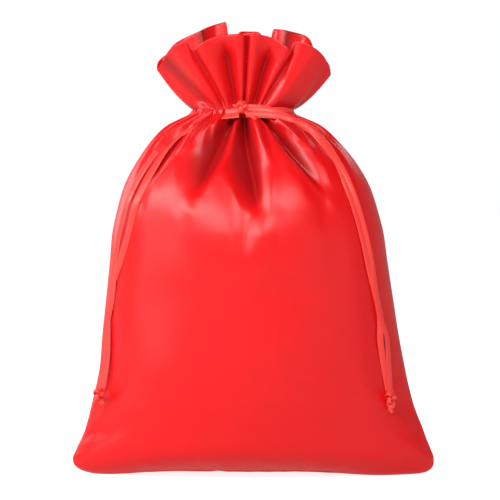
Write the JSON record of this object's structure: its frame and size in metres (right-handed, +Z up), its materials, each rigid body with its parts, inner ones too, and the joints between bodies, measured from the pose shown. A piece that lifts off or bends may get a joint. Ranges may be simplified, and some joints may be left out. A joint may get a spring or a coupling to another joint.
{
  "type": "drawstring pouch",
  "caption": "stuffed satin drawstring pouch with a tightly gathered neck, an open ruffled collar and ribbon drawstrings that hang down both sides and end in knots",
  "frame": {"origin": "on the floor under the middle of the bag, at the centre of the underside of its box", "axes": "+Z up, from the base to the collar; the front, with the tied knot, faces -Y; +X runs to the right as seen from the front, along the bag's width"},
  "size_m": [0.1613, 0.0788, 0.2025],
  "materials": {
    "satin": "woven polyester satin, soft sheen",
    "ribbon": "narrow satin ribbon, glossy"
  },
  "bodies": {
    "root": {"pouch": "satin", "neck_tie_left": "ribbon", "neck_tie_right": "ribbon", "front_knot": "ribbon", "ribbon_left_inner": "ribbon", "ribbon_left_outer": "ribbon", "ribbon_right_inner": "ribbon", "ribbon_right_outer": "ribbon", "ribbon_left_knot": "ribbon", "ribbon_right_knot": "ribbon"}
  },
  "joints": []
}
